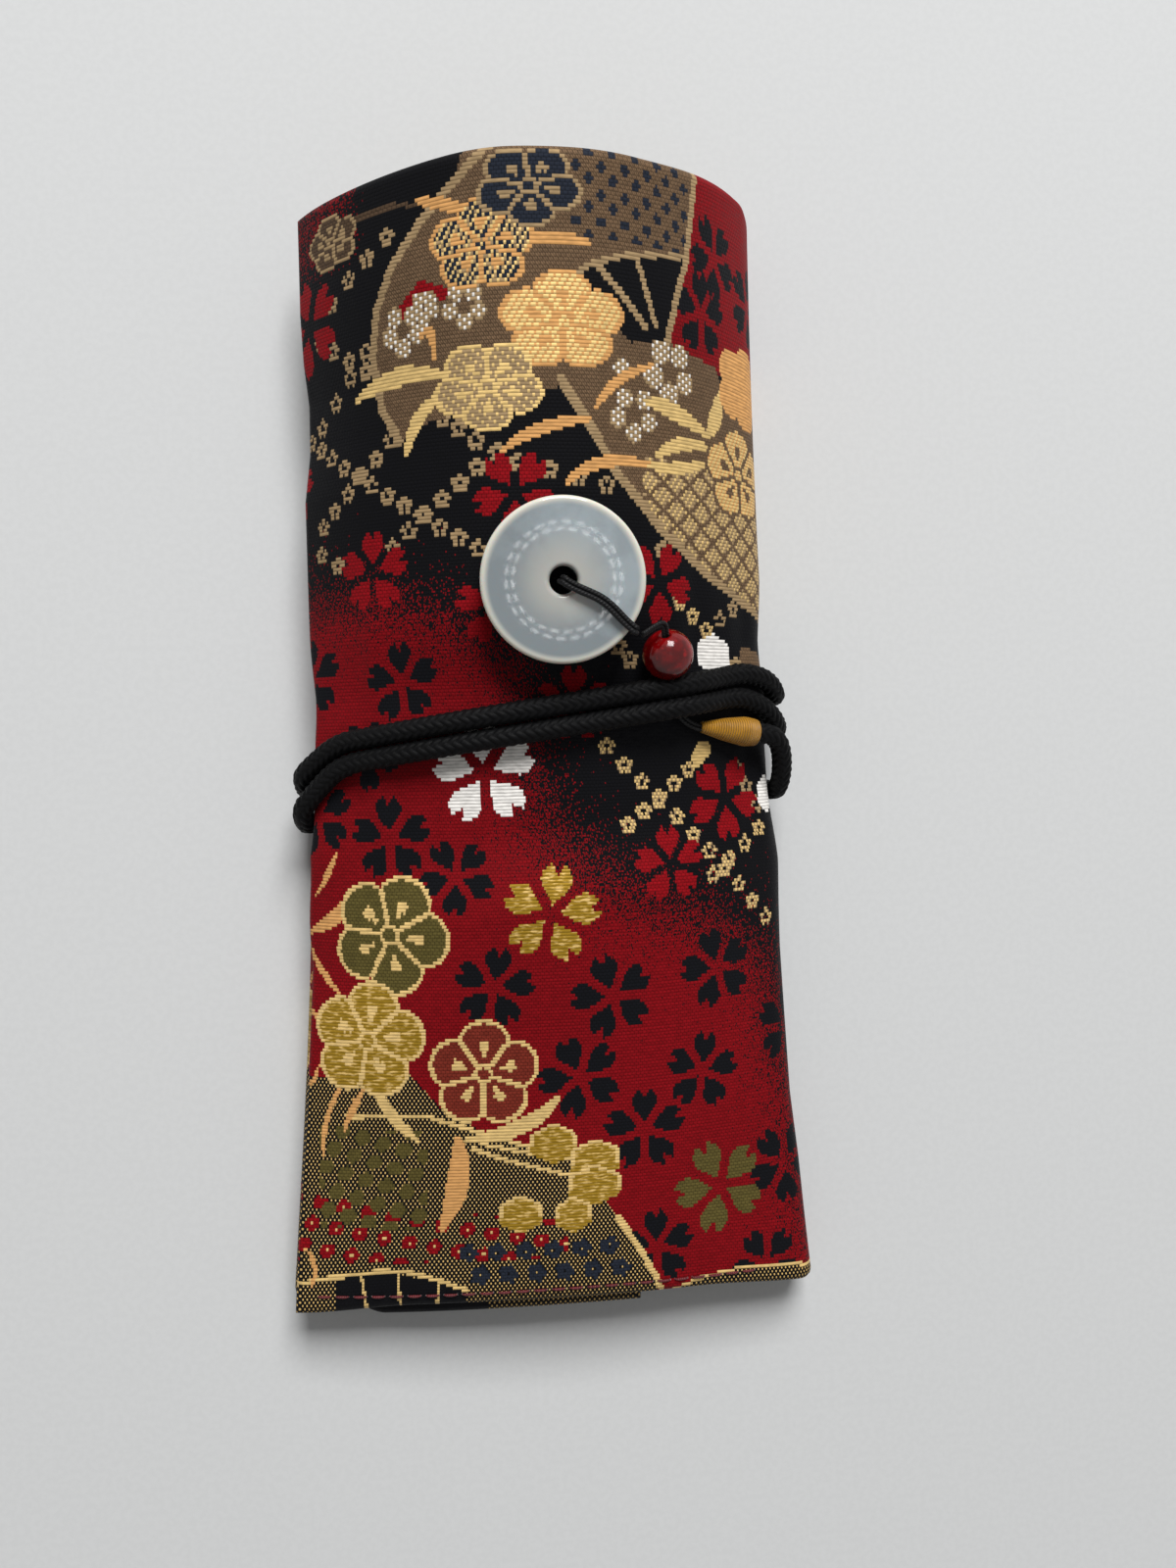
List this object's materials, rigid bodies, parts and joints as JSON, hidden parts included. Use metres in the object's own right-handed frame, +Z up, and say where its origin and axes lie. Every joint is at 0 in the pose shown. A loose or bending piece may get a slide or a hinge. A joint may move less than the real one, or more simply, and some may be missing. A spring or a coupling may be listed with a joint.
{
  "type": "pen pouch",
  "caption": "Padded brocade pen wrap folded in three over sewn pen sleeves, closed by a braided cord wound about its waist, with a whipping, thin leader, stone bead and stone ring disc.",
  "frame": {"origin": "on the table under the middle of the closed pouch", "axes": "+Y along the pouch to its full, open end, +X to the side of the rounded fold, +Z up"},
  "size_m": [0.0919, 0.186, 0.0384],
  "materials": {
    "brocade": "woven silk brocade with flat gold wefts in a flower and fan pattern",
    "padding": "soft cotton batting",
    "lining": "plain woven cream cloth",
    "sleeve": "plain woven dark cloth",
    "thread": "twisted dark red sewing thread",
    "cord": "tight round braid of black silk",
    "whipping": "wound amber thread with a soft sheen",
    "bead": "polished dark red stone",
    "stone": "polished milky pale stone"
  },
  "bodies": {
    "back": {"cover_back": "brocade", "padding_back": "padding", "lining_back": "lining", "cover_fold_right": "brocade", "padding_fold_right": "padding", "lining_fold_right": "lining", "cover_fold_left": "brocade", "padding_fold_left": "padding", "lining_fold_left": "lining", "sleeve_panel": "sleeve", "sleeve_binding": "brocade", "sleeve_seam_1": "thread", "sleeve_seam_2": "thread", "sleeve_seam_3": "thread", "sleeve_seam_4": "thread"},
    "front_flap": {"cover_front": "brocade", "padding_front": "padding", "lining_front": "lining", "hem_stitching": "thread", "wrap_cord": "cord", "anchor_lashing": "thread", "cord_whipping": "whipping", "leader_cord": "cord"},
    "inner_flap": {"cover_inner": "brocade", "padding_inner": "padding", "lining_inner": "lining"},
    "bead": {"bead": "bead"},
    "disc_link": {"disc_loop": "cord"},
    "disc": {"disc": "stone"}
  },
  "joints": [
    {"name": "front_flap_open", "type": "hinge", "parent": "back", "child": "front_flap", "pos_m": [0.04225, 0, 0.006], "axis": [-0.0403, 0.9992, 0], "range_deg": [0, 135], "deforming": ["cover_fold_right", "padding_fold_right", "lining_fold_right", "wrap_cord"]},
    {"name": "inner_flap_open", "type": "hinge", "parent": "back", "child": "inner_flap", "pos_m": [-0.0407, 0, 0.0045], "axis": [-0.0419, -0.9991, 0], "range_deg": [0, 50], "deforming": ["cover_fold_left", "padding_fold_left", "lining_fold_left"]},
    {"name": "bead_slide", "type": "slide", "parent": "front_flap", "child": "bead", "axis": [-0.2082, 0.7286, 0.6526], "range_m": [0, 0.002]},
    {"name": "disc_swing", "type": "hinge", "parent": "front_flap", "child": "disc_link", "pos_m": [0.01398, 0.02153, 0.03336], "axis": [0.5729, 0.8124, 0.1084], "range_deg": [0, 90]},
    {"name": "disc_spin", "type": "hinge", "parent": "disc_link", "child": "disc", "pos_m": [0.00205, 0.02997, 0.03312], "axis": [0, -0.1322, 0.9912], "continuous": true}
  ],
  "couplings": [
    {"joint": "inner_flap_open", "follows": "front_flap_open", "ratio": 0.35}
  ]
}
